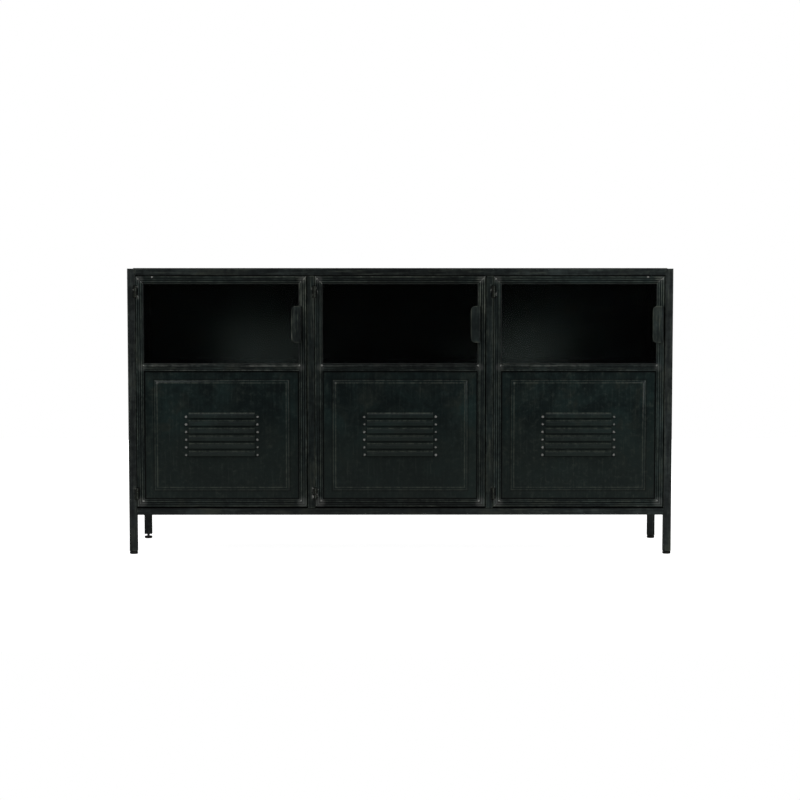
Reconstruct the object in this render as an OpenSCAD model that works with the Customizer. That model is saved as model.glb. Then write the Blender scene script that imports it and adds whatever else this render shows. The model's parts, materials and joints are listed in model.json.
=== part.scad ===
// Steel locker sideboard: a welded tube carcass with three doors, each with a
// glass light above a louvred sheet panel. Front faces -Y, +Z is up, and the
// origin is on the floor under the middle of the whole object.

/* [Body] */
// Overall width across the legs
width = 1500; // [1400:10:1600]
// Overall height, floor to top sheet
height = 790; // [760:5:820]
// Depth of the carcass, front face to rivet heads
depth = 400; // [360:5:450]
// Outside size of the leg tubes
leg = 22; // [20:1:24]
// Outside size of the rail and mullion tubes
tube = 20; // [18:1:22]
// Wall of the leg, rail and mullion tubes
wall = 2; // [1.5:0.5:2]
// Clear height under the bottom rails
clearance = 109; // [90:1:130]
// Thickness of the top sheet
top_t = 1.5; // [1:0.5:2]
// Thickness of the side, back, floor and divider sheets
sheet = 1; // [0.8:0.1:1.5]

/* [Doors] */
// Number of doors and bays
bays = 3; // [3:1:3]
// Gap at the hinge side of a door
gap_hinge = 1.5; // [1:0.5:2]
// Gap at the handle side of a door
gap_handle = 2.75; // [2:0.25:3]
// Gap above a door
gap_top = 1.5; // [1:0.5:3]
// Gap below a door
gap_bottom = 3.5; // [2:0.5:4]
// Face width of the door frame section
stile = 20; // [18:1:22]
// Front to back depth of the door frame section
door_d = 15; // [14:1:16]
// Height of the underside of the door's middle rail
mid_rail_z = 507.5; // [480:0.5:540]
// Glass thickness
glass_t = 4; // [3:1:4]

/* [Louvre panel] */
// Distance from the visible edge of the panel to the pressed step, at the sides
step_side = 28; // [20:1:40]
// The same distance at the top and the bottom
step_end = 25; // [20:1:40]
// Width of the pressed slope
slope = 8; // [6:1:10]
// Height of the pressed field above its flange
press = 3; // [2:0.5:3]
// Number of louvres in a panel
louvres = 6; // [4:1:7]
// Height from one louvre to the next
louvre_pitch = 21.1; // [20:0.1:24]
// Length of a louvre, with its round ends
louvre_len = 210; // [180:5:240]
// Height of a louvre hood
louvre_h = 14; // [12:1:15]
// How far the louvres sit above the middle of the panel
louvre_rise = 2; // [0:0.5:5]

/* [Fittings] */
// Height of a handle tab
handle_h = 100; // [80:1:110]
// Distance from the door face to the handle's outer face
reach = 18; // [16:1:20]
// Height of the lower end of the handle
handle_z = 586; // [560:1:620]
// Radius of a hinge knuckle
knuckle_r = 4; // [3.5:0.25:4]
// Length of one hinge knuckle
knuckle_l = 15; // [12:1:18]
// Top of the shelves
shelf_z = 526; // [516:1:526]
// Height of the leg tubes above the floor
leg_up = 8.5; // [8.5:0.5:10]
// The same for the rear left leg, whose foot is screwed out further
leg_up_rear_left = 13; // [8.5:0.5:14]

/* [Hidden] */
$fn = 48;

black = "#20282a";
worn = "#383a38";
zinc = "#6a6c6a";

// Carcass
front = reach / 2 - depth / 2;              // front face of tubes and doors
rivet_h = 1;
back = front + depth - rivet_h - sheet;     // rear face of the tubes
frame_top = height - top_t;
left = -width / 2;
right = width / 2;
floor_z = clearance + tube;                 // top of the bottom rails
ceiling_z = frame_top - tube;               // underside of the top rails
side_in = 4;                                // how far the side sheets sit inside the frame
side_face = left + side_in + sheet;         // inner face of the left side sheet
tube_r = 2.5;
leg_corners = [
    [left, front, leg_up], [right - leg, front, leg_up],
    [left, back - leg, leg_up_rear_left], [right - leg, back - leg, leg_up]
];

// Bays and doors
bay_w = (width - 2 * leg - (bays - 1) * tube) / bays;
function bay_x(i) = left + leg + i * (bay_w + tube);
function door_x(i) = bay_x(i) + gap_hinge;
function mullion_x(i) = bay_x(i + 1) - tube;
door_w = bay_w - gap_hinge - gap_handle;
door_z = floor_z + gap_bottom;
door_h = ceiling_z - gap_top - door_z;
web = 12;                                   // box part of the frame section
lip_back = 5;                               // rear face of the lip, where glass and panel lie
skin = 1.5;                                 // wall of the frame section
fit = 0.3;

// Hinges
pin_r = 2.5;
pin_gap = 0.05;
axis_out = 1.5;                             // hinge axis in front of the door face
hinge_zs = [168, 725];
function hinge_x(i) = bay_x(i) + gap_hinge / 2;
notch_gap = 0.4;

// Frame section in (across, back) coordinates: flat land, groove, rounded bead
bead_r = 4;
bead_mid = stile - bead_r;
bead_back = 3.5;                            // centre of the bead behind the door face
bead_from = 150;
bead_step = 25;
land = 10.5;
groove = [11.3, 1.5];
bead = [for (a = [bead_from:-bead_step:0])
    [bead_mid + bead_r * cos(a), bead_back - bead_r * sin(a)]];
section = concat([[0, 0], [land, 0], groove], bead,
    [[stile, lip_back], [web, lip_back], [web, door_d], [0, door_d]]);

module square_tube(size, length) {
    // along +Z from the origin, corner at the origin
    difference() {
        linear_extrude(length) rounded_rect(size, size, tube_r);
        translate([wall, wall, -1]) cube([size - 2 * wall, size - 2 * wall, length + 2]);
    }
}

module rounded_rect(w, h, r) {
    polygon([for (c = [[w - r, h - r, 0], [r, h - r, 90], [r, r, 180], [w - r, r, 270]])
        for (a = [0:22.5:90]) [c[0] + r * cos(c[2] + a), c[1] + r * sin(c[2] + a)]]);
}

module rail_x(x0, y0, z0, length) {
    translate([x0, y0, z0 + tube]) rotate([0, 90, 0]) square_tube(tube, length);
}

module rail_y(x0, y0, z0, length) {
    translate([x0, y0 + length, z0]) rotate([90, 0, 0]) square_tube(tube, length);
}

// Room for the hinge knuckles of bay i: those welded to the cut piece fit it, the others clear it
module knuckle_cuts(i, own_upper) {
    for (z = hinge_zs)
        for (upper = [0, 1]) {
            own = (upper == 1) == own_upper;
            r = own ? knuckle_r : knuckle_r + notch_gap;
            z0 = upper == 1 ? z : z - knuckle_l - (own ? 0 : notch_gap);
            h = knuckle_l + (own ? 0 : notch_gap);
            translate([hinge_x(i), front - axis_out, z0]) cylinder(r = r, h = h);
        }
}

module leg_tube(k) {
    corner = leg_corners[k];
    color(black) difference() {
        translate([corner[0], corner[1], corner[2]]) square_tube(leg, frame_top - corner[2]);
        if (k == 0) knuckle_cuts(0, false);
    }
    color(black) translate([corner[0] + wall, corner[1] + wall, frame_top - wall])
        cube([leg - 2 * wall, leg - 2 * wall, wall]);
}

module rail_along(y0, z0) {
    color(black) rail_x(left + leg, y0, z0, width - 2 * leg);
}

module side_rail(x, z0) {
    color(black) rail_y(x, front + leg, z0, back - front - 2 * leg);
}

module mullion(i) {
    color(black) difference() {
        translate([mullion_x(i), front, floor_z]) square_tube(tube, ceiling_z - floor_z);
        knuckle_cuts(i + 1, false);
    }
}

module top_sheet() {
    // lies on the front and back rails and laps a little over the side rails
    lap = 3;
    color(black) translate([left + tube - lap, front, frame_top])
        cube([width - 2 * tube + 2 * lap, back - front, top_t]);
}

module floor_sheet() {
    // lies between the bottom rails, notched round the legs
    inset = leg - tube;
    color(black) translate([left + tube, front + tube, floor_z - sheet]) linear_extrude(sheet)
        difference() {
            square([width - 2 * tube, back - front - 2 * tube]);
            for (x = [0, width - 2 * tube - inset], y = [0, back - front - 2 * tube - inset])
                translate([x, y]) square([inset, inset]);
        }
}

module back_sheet() {
    edge = 6;
    color(black) translate([left + edge, back, clearance + edge])
        cube([width - 2 * edge, sheet, frame_top - clearance - 2 * edge]);
}

module back_rivets() {
    rivet_r = 3.5;
    inset = tube / 2;
    columns = 7;
    x0 = left + leg / 2;
    xs = [for (k = [0:columns - 1]) x0 - k * 2 * x0 / (columns - 1)];
    zs = [clearance + inset, frame_top - inset];
    mids = [1 / 3, 2 / 3];
    color(zinc) {
        for (x = xs, z = zs) rivet(x, z, rivet_r);
        for (x = [xs[0], xs[columns - 1]], m = mids) rivet(x, zs[0] + m * (zs[1] - zs[0]), rivet_r);
    }
}

module rivet(x, z, r) {
    crown = 0.7;
    translate([x, back + sheet, z]) rotate([-90, 0, 0]) cylinder(r1 = r, r2 = r * crown, h = rivet_h);
}

module side_sheet(x) {
    color(black) translate([x, front + leg, floor_z])
        cube([sheet, back - front - 2 * leg, ceiling_z - floor_z]);
}

module divider(i) {
    // stands behind the mullion and runs up between the top rails
    d = back - front - tube;
    color(black) translate([mullion_x(i) + (tube - sheet) / 2, front + tube, 0])
        rotate([90, 0, 90]) linear_extrude(sheet)
            polygon([[0, floor_z], [d, floor_z], [d, ceiling_z], [d - tube, ceiling_z],
                [d - tube, frame_top], [0, frame_top]]);
}

// Clear span of each bay between its sheets
function span_x0(i) = i == 0 ? side_face : mullion_x(i - 1) + (tube + sheet) / 2;
function span_x1(i) = i == bays - 1 ? -side_face : mullion_x(i) + (tube - sheet) / 2;

shelf_t = 1.2;
shelf_lip = 16;
shelf_front = front + 28;
ledge = 15;
ledge_t = 1.5;
shelf_gap = 1;

module shelf(i) {
    // folded tray: flat top with a lip down at the front and at the back
    x0 = span_x0(i) + shelf_gap;
    w = span_x1(i) - shelf_gap - x0;
    d = back - shelf_gap - shelf_front;
    notch = leg + 1;
    cut_h = 100;
    color(black) difference() {
        translate([x0, shelf_front, shelf_z]) union() {
            translate([0, 0, -shelf_t]) cube([w, d, shelf_t]);
            for (y = [0, d - shelf_t]) translate([ledge + 1, y, -shelf_lip])
                cube([w - 2 * ledge - 2, shelf_t, shelf_lip]);
        }
        for (x = [left - 1, right - notch + 1])
            translate([x, back - notch, shelf_z - cut_h / 2]) cube([notch, notch, cut_h]);
    }
}

module shelf_ledges() {
    length = back - leg - 1 - shelf_front;
    color(black) for (i = [0:bays - 1], side = [0, 1]) {
        x = side == 0 ? span_x0(i) : span_x1(i);
        translate([x, shelf_front, shelf_z - shelf_t]) mirror([side, 0, 0]) {
            translate([0, 0, -ledge_t]) cube([ledge, length, ledge_t]);
            translate([0, 0, -ledge]) cube([ledge_t, length, ledge - ledge_t]);
        }
    }
}

// Levelling feet and the threaded plugs that hold them
stem_r = 4;
plug_h = 20;
plug_gap = 0.05;
foot_r = 11.5;
foot_h = 7.8;
stem_top = 46;

module leg_plugs() {
    size = leg - 2 * wall - 2 * plug_gap;
    color(zinc) for (c = leg_corners) difference() {
        translate([c[0] + wall + plug_gap, c[1] + wall + plug_gap, c[2]]) cube([size, size, plug_h]);
        translate([c[0] + leg / 2, c[1] + leg / 2, c[2] - 1]) cylinder(r = stem_r + 0.05, h = plug_h + 2);
    }
}

module foot(k) {
    c = leg_corners[k];
    edge = 1.2;
    rim_h = 5.6;
    hub = [6, 7.3];
    tip = 1;
    color(zinc) translate([c[0] + leg / 2, c[1] + leg / 2, 0]) rotate_extrude()
        polygon([[0, 0], [foot_r - edge, 0], [foot_r, edge], [foot_r, rim_h],
            [foot_r - edge, rim_h + edge], hub, [stem_r, foot_h], [stem_r, stem_top - tip],
            [stem_r - tip, stem_top], [0, stem_top]]);
}

// Door parts. Door coordinates: x from the hinge edge, y back from the door face, z up.
module at_door(i) {
    translate([door_x(i), front, door_z]) children();
}

module frame_bar(length) {
    // section across +X, depth +Y, length +Z
    difference() {
        linear_extrude(length) polygon(section);
        translate([skin, skin, -1]) cube([web - 2 * skin, door_d - 2 * skin, length + 2]);
    }
}

module stile_outline() {
    rotate([90, 0, 0]) translate([0, 0, -door_d - 1]) linear_extrude(door_d + 4)
        polygon([[0, 0], [stile, stile], [stile, door_h - stile], [0, door_h]]);
}

module rail_outline() {
    rotate([90, 0, 0]) translate([0, 0, -door_d - 1]) linear_extrude(door_d + 4)
        polygon([[0, 0], [door_w, 0], [door_w - stile, stile], [stile, stile]]);
}

module door_stiles(i) {
    color(worn) difference() {
        at_door(i) {
            intersection() { frame_bar(door_h); stile_outline(); }
            translate([door_w, 0, 0]) mirror([1, 0, 0])
                intersection() { frame_bar(door_h); stile_outline(); }
        }
        knuckle_cuts(i, true);
    }
}

module lying_bar() {
    // frame bar along +X with its land at the bottom
    translate([door_w, 0, 0]) rotate([0, -90, 0]) frame_bar(door_w);
}

module door_rails(i) {
    color(worn) at_door(i) {
        intersection() { lying_bar(); rail_outline(); }
        translate([0, 0, door_h]) mirror([0, 0, 1]) intersection() { lying_bar(); rail_outline(); }
        translate([0, 0, mid_rail_z - door_z]) intersection() {
            lying_bar();
            union() {
                translate([stile, -5, -1]) cube([door_w - 2 * stile, lip_back + 5, stile + 2]);
                translate([web, lip_back, -1]) cube([door_w - 2 * web, door_d, stile + 2]);
            }
        }
    }
}

module glass(i) {
    z0 = mid_rail_z - door_z + web + fit;
    color("#20302c", 0.4) at_door(i) translate([web + fit, lip_back, z0])
        cube([door_w - 2 * web - 2 * fit, glass_t, door_h - web - fit - z0]);
}

module glazing_beads(i) {
    // four square strips behind the edges of the glass
    size = 5;
    y = lip_back + glass_t;
    z0 = mid_rail_z - door_z + web;
    z1 = door_h - web;
    inner = door_w - 2 * web;
    color(black) at_door(i) {
        for (z = [z0, z1 - size]) translate([web, y, z]) cube([inner, size, size]);
        for (x = [web, door_w - web - size]) translate([x, y, z0 + size + fit])
            cube([size, size, z1 - z0 - 2 * size - 2 * fit]);
    }
}

// Louvre panel: a flange, a raised field and open hoods
panel_x0 = web + fit;
panel_x1 = door_w - panel_x0;
panel_z0 = web + fit;
panel_z1 = mid_rail_z - door_z - fit;
field_x0 = stile + step_side;
field_z0 = stile + step_end;
field_x1 = door_w - field_x0;
field_z1 = mid_rail_z - door_z - step_end;
hood_angle = 50;
hood_r = louvre_h / sin(hood_angle);
hood_out = hood_r * (1 - cos(hood_angle));
hood_steps = 5;
louvre_z0 = (field_z0 + field_z1) / 2 - ((louvres - 1) * louvre_pitch + louvre_h) / 2 + louvre_rise;

module raised_block(y_face, y_base, grow) {
    // block whose four sides slope up from the base plane to the face
    run = slope * (y_base - y_face) / press;
    intersection() {
        translate([0, 0, -1]) linear_extrude(door_h)
            polygon([[field_x0 - grow, y_base], [field_x0 - grow + run, y_face],
                [field_x1 + grow - run, y_face], [field_x1 + grow, y_base]]);
        translate([-1, 0, 0]) rotate([90, 0, 90]) linear_extrude(door_w)
            polygon([[y_base, field_z0 - grow], [y_face, field_z0 - grow + run],
                [y_face, field_z1 + grow - run], [y_base, field_z1 + grow]]);
    }
}

module hood(r, back_y, drop) {
    // arc from the slot at the bottom up to the sheet, with quarter round ends
    face = lip_back - press;
    arc = [for (k = [0:hood_steps]) let (a = hood_angle * k / hood_steps)
        [r * sin(a), face - hood_out + hood_r - r * cos(a)]];
    outline = concat(arc, [[arc[hood_steps][0], back_y], [0, back_y]]);
    straight = louvre_len - 2 * louvre_h;
    translate([door_w / 2, 0, 0]) {
        translate([-straight / 2, 0, 0]) rotate([90, 0, 90]) linear_extrude(straight)
            polygon([for (p = outline) [p[1], p[0]]]);
        for (side = [0, 1]) mirror([side, 0, 0]) translate([straight / 2, 0, 0]) rotate([90, 0, 0])
            rotate_extrude(angle = 90) polygon([for (p = outline) [p[0], -p[1]]]);
        if (drop > 0) translate([-straight / 2 - r * sin(hood_angle), face - hood_out + sheet, -drop])
            cube([straight + 2 * r * sin(hood_angle), hood_out - sheet, drop]);
    }
}

module louvre_panel(i) {
    face = lip_back - press;
    rear = lip_back + sheet;
    color(black) at_door(i) difference() {
        union() {
            translate([panel_x0, lip_back, panel_z0])
                cube([panel_x1 - panel_x0, sheet, panel_z1 - panel_z0]);
            raised_block(face, lip_back + sheet / 2, slope * sheet / 2 / press);
            for (k = [0:louvres - 1]) translate([0, 0, louvre_z0 + k * louvre_pitch])
                hood(hood_r, face + sheet / 2, 0);
        }
        raised_block(face + sheet, rear + 1, slope / press);
        for (k = [0:louvres - 1]) translate([0, 0, louvre_z0 + k * louvre_pitch])
            hood(hood_r - sheet, rear + 1, 1);
    }
}

// Handles: the web stands on the stile and the plate turns towards the glass
plate_t = 2;
handle_w = [26, 26, 30];
handle_edge = [14, 14, 3];                  // from the door's edge to the outside of the web
bend_r = 4;

module handle(i) {
    w = handle_w[i];
    corner = 11;
    x1 = door_w - handle_edge[i];
    plan = concat(
        [[-w, -reach], [-bend_r, -reach]],
        [for (a = [75:-15:15]) bend_at(bend_r, a)],
        [[0, -reach + bend_r], [0, 1], [-plate_t, 1], [-plate_t, -reach + bend_r]],
        [for (a = [30, 60]) bend_at(bend_r - plate_t, a)],
        [[-bend_r, plate_t - reach], [-w, plate_t - reach]]);
    outline = concat(
        [[1, 0], [1, handle_h]],
        [for (a = [90:10:180]) [-w + corner + corner * cos(a), handle_h - corner + corner * sin(a)]],
        [for (a = [180:10:270]) [-w + corner + corner * cos(a), corner + corner * sin(a)]]);
    color(worn) difference() {
        translate([door_x(i) + x1, front, handle_z]) intersection() {
            linear_extrude(handle_h) polygon(plan);
            translate([0, 1, 0]) rotate([90, 0, 0]) linear_extrude(reach + 2) polygon(outline);
        }
        // the web's foot is cut to the section of the stile that it stands on
        at_door(i) translate([door_w, 0, 0]) mirror([1, 0, 0]) linear_extrude(door_h) polygon(section);
    }
}

function bend_at(r, a) = [-bend_r + r * cos(a), -reach + bend_r - r * sin(a)];

// Hinges: the lower knuckle and its pin belong to the carcass, the upper one to the door
module hinge_pins(i) {
    color(worn) for (z = hinge_zs) translate([hinge_x(i), front - axis_out, z]) {
        translate([0, 0, -knuckle_l]) cylinder(r = knuckle_r, h = knuckle_l - fit);
        translate([0, 0, -fit]) cylinder(r = pin_r, h = knuckle_l - 2);
    }
}

module hinge_barrels(i) {
    cap = 1.5;                              // closed top of the blind bore
    color(worn) for (z = hinge_zs) translate([hinge_x(i), front - axis_out, z]) difference() {
        cylinder(r = knuckle_r, h = knuckle_l);
        translate([0, 0, -1]) cylinder(r = pin_r + pin_gap, h = knuckle_l + 1 - cap);
    }
}

// Magnetic catch behind the handle stile, and the plate it holds
catch_z = 715;
catch_h = 34;
strike_t = 1.5;

module strike_plate(i) {
    inset = 1;
    color(zinc) at_door(i) translate([door_w - web + inset, door_d, catch_z - door_z])
        cube([web - 2 * inset, strike_t, catch_h]);
}

module magnet_catches() {
    bracket = [1.5, 18, catch_h];
    margin = 2;
    body = [12.5, 14, catch_h - 2 * margin];
    y0 = door_d + strike_t + fit;
    color("#303030") for (i = [0:bays - 1])
        translate([bay_x(i) + bay_w - bracket[0], front + y0, catch_z]) {
            cube(bracket);
            translate([-body[0], 0, margin]) cube(body);
        }
}

leg_tube(0);  // leg_front_left
leg_tube(1);  // leg_front_right
leg_tube(2);  // leg_rear_left
leg_tube(3);  // leg_rear_right
rail_along(front, ceiling_z);  // top_rail_front
rail_along(back - tube, ceiling_z);  // top_rail_rear
side_rail(left, ceiling_z);  // top_rail_left
side_rail(right - tube, ceiling_z);  // top_rail_right
rail_along(front, clearance);  // bottom_rail_front
rail_along(back - tube, clearance);  // bottom_rail_rear
side_rail(left, clearance);  // bottom_rail_left
side_rail(right - tube, clearance);  // bottom_rail_right
mullion(0);  // mullion_left
mullion(1);  // mullion_right
top_sheet();
floor_sheet();
back_sheet();
side_sheet(left + side_in);  // side_sheet_left
side_sheet(right - side_in - sheet);  // side_sheet_right
divider(0);  // divider_left
divider(1);  // divider_right
shelf(0);  // shelf_left
shelf(1);  // shelf_centre
shelf(2);  // shelf_right
shelf_ledges();
leg_plugs();
magnet_catches();
back_rivets();
hinge_pins(0);  // hinge_pins_left
hinge_pins(1);  // hinge_pins_centre
hinge_pins(2);  // hinge_pins_right
door_stiles(0);  // door_stiles_left
door_stiles(1);  // door_stiles_centre
door_stiles(2);  // door_stiles_right
door_rails(0);  // door_rails_left
door_rails(1);  // door_rails_centre
door_rails(2);  // door_rails_right
louvre_panel(0);  // louvre_panel_left
louvre_panel(1);  // louvre_panel_centre
louvre_panel(2);  // louvre_panel_right
glass(0);  // glass_left
glass(1);  // glass_centre
glass(2);  // glass_right
glazing_beads(0);  // glazing_beads_left
glazing_beads(1);  // glazing_beads_centre
glazing_beads(2);  // glazing_beads_right
handle(0);  // handle_left
handle(1);  // handle_centre
handle(2);  // handle_right
hinge_barrels(0);  // hinge_barrels_left
hinge_barrels(1);  // hinge_barrels_centre
hinge_barrels(2);  // hinge_barrels_right
strike_plate(0);  // strike_plate_left
strike_plate(1);  // strike_plate_centre
strike_plate(2);  // strike_plate_right
foot(0);  // foot_front_left
foot(1);  // foot_front_right
foot(2);  // foot_rear_left
foot(3);  // foot_rear_right
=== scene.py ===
"""Steel locker sideboard: welded tube carcass, three glazed and louvred doors."""
import json
import math

import bpy
from mathutils import Matrix, Vector


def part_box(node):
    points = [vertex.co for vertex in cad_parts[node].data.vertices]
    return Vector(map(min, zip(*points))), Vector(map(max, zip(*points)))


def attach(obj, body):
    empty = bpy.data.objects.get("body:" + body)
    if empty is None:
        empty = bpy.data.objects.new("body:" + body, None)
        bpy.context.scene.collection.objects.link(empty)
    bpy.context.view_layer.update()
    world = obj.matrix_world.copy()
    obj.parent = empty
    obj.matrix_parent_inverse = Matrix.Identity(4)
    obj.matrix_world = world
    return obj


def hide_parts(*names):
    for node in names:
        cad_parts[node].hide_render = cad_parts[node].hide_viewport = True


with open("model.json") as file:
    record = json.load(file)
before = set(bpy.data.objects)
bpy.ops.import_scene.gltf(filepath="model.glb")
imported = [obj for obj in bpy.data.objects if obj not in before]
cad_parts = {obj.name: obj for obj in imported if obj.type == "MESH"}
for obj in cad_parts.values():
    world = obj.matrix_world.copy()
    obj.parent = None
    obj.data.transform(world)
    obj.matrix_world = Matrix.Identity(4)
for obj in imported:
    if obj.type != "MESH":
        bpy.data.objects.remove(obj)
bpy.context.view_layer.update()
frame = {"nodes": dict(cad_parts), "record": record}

SIDES = ["left", "centre", "right"]
CORNERS = ["front_left", "front_right", "rear_left", "rear_right"]
MM = 0.001
CLOSE = 1e-6    # points nearer than this count as one

# Carcass: rounding of the square tubes, and the beads welded under them
TUBE_R = 0.0025
BEAD_R = 0.0016
BEAD_L = 0.016

# Door frame: its section, and the height of the middle rail's lower edge
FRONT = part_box("door_stiles_left")[0][1]
STILE = 0.020
DOOR_D = 0.015
WEB = 0.012
LIP = 0.005
MID_RAIL = 0.5075

# Hinges: a knuckle, the room round it, the pin, and the heights where two knuckles meet
KNUCKLE_R = 0.004
KNUCKLE_L = 0.015
KNUCKLE_GAP = 0.0004
PIN_R = 0.0025
HINGE_Z = [0.168, 0.725]

# Pressed panel: its sheet, how far its field is pressed out, and where the slope starts
# inside the door's sides, above its bottom and below its middle rail
SHEET = 0.001
PRESS = 0.003
SLOPE = 0.008
CREASE_SIDE = 0.048
CREASE_BOTTOM = 0.045
CREASE_TOP = 0.025
FACE = FRONT + LIP - PRESS

# Louvres, lifted a little above the middle of their field; the arc of each is
# (rise above the slot, how far it stands out), in mm
LOUVRES = 6
LOUVRE_PITCH = 0.0211
LOUVRE_TALL = 0.014
LOUVRE_LIFT = 0.002
LOUVRE_STRAIGHT = 0.182
LOUVRE_ARC = [(0, 6.5), (3, 6.28), (6, 5.52), (8, 4.68), (10, 3.55), (11.5, 2.46), (12.6, 1.55),
              (13.6, 0.85), (14.8, 0.32), (16.2, 0)]


# ---------------------------------------------------------------- shop tools

def start():
    """Leave edit mode and let go of everything that is selected."""
    if bpy.context.object and bpy.context.object.mode != "OBJECT":
        bpy.ops.object.mode_set(mode="OBJECT")
    bpy.ops.object.select_all(action="DESELECT")


def named(name):
    """Give the new active object its name and its mesh the same."""
    piece = bpy.context.object
    piece.name = name
    piece.data.name = name
    return piece


def block(name, low, high):
    """A rectangular blank between two corners, with its place in its mesh."""
    start()
    bpy.ops.mesh.primitive_cube_add(size=1)
    piece = named(name)
    low, high = Vector(low), Vector(high)
    piece.scale = high - low
    piece.location = (low + high) / 2
    bpy.ops.object.transform_apply(location=True, rotation=True, scale=True)
    return piece


def section(name, points, pull):
    """A bar: its section is drawn as one face and pulled out along a vector."""
    start()
    bpy.ops.mesh.primitive_circle_add(vertices=len(points), fill_type="NGON")
    piece = named(name)
    for vertex, point in zip(piece.data.vertices, points):
        vertex.co = Vector(point)
    edit(piece, "SELECT")
    bpy.ops.mesh.extrude_region_move(TRANSFORM_OT_translate={"value": Vector(pull)})
    close_up()
    return piece


def hold(piece):
    """Make a piece the active one and the only one selected."""
    start()
    bpy.context.view_layer.objects.active = piece
    piece.select_set(True)


def edit(piece, action="DESELECT"):
    """Open a piece in edit mode with nothing, or all of it, selected."""
    hold(piece)
    bpy.ops.object.mode_set(mode="EDIT")
    bpy.ops.mesh.select_all(action=action)


def modify(piece, kind, **settings):
    """Add one modifier, set it and apply it."""
    hold(piece)
    bpy.ops.object.modifier_add(type=kind)
    change = piece.modifiers[-1]
    for key, value in settings.items():
        setattr(change, key, value)
    bpy.ops.object.modifier_apply(modifier=change.name)


def close_up():
    """Merge doubles, turn faces outwards and leave edit mode."""
    bpy.ops.mesh.select_all(action="SELECT")
    bpy.ops.mesh.remove_doubles(threshold=0.00001)
    bpy.ops.mesh.normals_make_consistent(inside=False)
    bpy.ops.object.mode_set(mode="OBJECT")


def pick_edges(piece, wanted):
    """Select the edges for which wanted(first end, second end) is true."""
    bpy.ops.object.mode_set(mode="OBJECT")
    points = piece.data.vertices
    for edge in piece.data.edges:
        first, second = edge.vertices
        edge.select = bool(wanted(points[first].co, points[second].co))
    bpy.ops.object.mode_set(mode="EDIT")
    bpy.ops.mesh.select_mode(type="EDGE")


def pick_faces(piece, wanted):
    """Select the faces for which wanted(centre, normal) is true."""
    bpy.ops.mesh.select_mode(type="FACE")
    bpy.ops.object.mode_set(mode="OBJECT")
    for face in piece.data.polygons:
        face.select = bool(wanted(face.center, face.normal))
    bpy.ops.object.mode_set(mode="EDIT")


def same(first, second, axes):
    """Whether two points agree along some axes."""
    return all(abs(first[k] - second[k]) < CLOSE for k in axes)


def round_along(piece, axis, radius):
    """Round the four long edges of a bar."""
    edit(piece)
    others = [k for k in range(3) if k != axis]
    pick_edges(piece, lambda a, b: same(a, b, others))
    bpy.ops.mesh.bevel(offset=radius, segments=4, affect="EDGES")
    close_up()


def soften(piece, width, segments=2):
    """Break every sharp edge by a small rounded bevel."""
    modify(piece, "BEVEL", width=width, segments=segments, limit_method="ANGLE",
           angle_limit=math.radians(30))
    smooth(piece)


def smooth(piece, angle=35):
    """Smooth shading that stays flat on the large faces."""
    hold(piece)
    bpy.ops.object.shade_smooth_by_angle(angle=math.radians(angle))
    modify(piece, "WEIGHTED_NORMAL", keep_sharp=True)


def carve(piece, *cutters, operation="DIFFERENCE"):
    """Cut or add whole shapes and clear the tools away."""
    for cutter in cutters:
        modify(piece, "BOOLEAN", operation=operation, solver="MANIFOLD", object=cutter)
        bpy.data.objects.remove(cutter)


def rod(name, centre, radius, length, axis="Z", sides=32):
    """A round bar along an axis, with its low end at centre."""
    start()
    turn = {"X": (0, math.pi / 2, 0), "Y": (-math.pi / 2, 0, 0), "Z": (0, 0, 0)}[axis]
    middle = Vector(centre)
    middle["XYZ".index(axis)] += length / 2
    bpy.ops.mesh.primitive_cylinder_add(vertices=sides, radius=radius, depth=length,
                                        location=middle, rotation=turn)
    bpy.ops.object.transform_apply(location=True, rotation=True, scale=True)
    return named(name)


def join(name, pieces):
    """Make one piece of several."""
    hold(pieces[0])
    for piece in pieces:
        piece.select_set(True)
    bpy.ops.object.join()
    return named(name)


def copy(piece, name, shift):
    """A copy with its own mesh, moved by a shift that goes into the mesh."""
    twin = piece.copy()
    twin.data = piece.data.copy()
    twin.data.materials.clear()
    bpy.context.collection.objects.link(twin)
    twin.name = name
    twin.data.name = name
    twin.data.transform(Matrix.Translation(Vector(shift)))
    return twin


def fit_out(piece, finish, body, slot, *nodes):
    """Give a piece its finish, the body it rides on and the nodes it stands for."""
    piece.data.materials.clear()
    piece.data.materials.append(finish)
    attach(piece, body)
    if nodes:
        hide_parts(*nodes)


# ---------------------------------------------------------------- finishes

class Value:
    """A socket in a finish: sums on it add Math nodes."""

    def __init__(self, finish, socket):
        self.finish = finish
        self.socket = socket

    def maths(self, operation, *others):
        """One Math node on this value and any others."""
        return self.finish.maths(operation, self, *others)

    def __add__(self, other):
        return self.maths("ADD", other)

    def __radd__(self, other):
        return self.maths("ADD", other)

    def __sub__(self, other):
        return self.maths("SUBTRACT", other)

    def __rsub__(self, other):
        return self.finish.maths("SUBTRACT", other, self)

    def __mul__(self, other):
        return self.maths("MULTIPLY", other)

    def __rmul__(self, other):
        return self.maths("MULTIPLY", other)

    def __truediv__(self, other):
        return self.maths("DIVIDE", other)

    def __rtruediv__(self, other):
        return self.finish.maths("DIVIDE", other, self)

    def __abs__(self):
        return self.maths("ABSOLUTE")

    def least(self, other):
        return self.maths("MINIMUM", other)

    def most(self, other):
        return self.maths("MAXIMUM", other)

    def ease(self, start_at, full_at):
        """0 at start_at and 1 at full_at, with soft ends; start_at may be the larger."""
        if start_at > full_at:
            return 1 - self.ease(full_at, start_at)
        return self.finish.node("MapRange", {"interpolation_type": "SMOOTHSTEP"},
                                {"Value": self, "From Min": start_at, "From Max": full_at})


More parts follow.
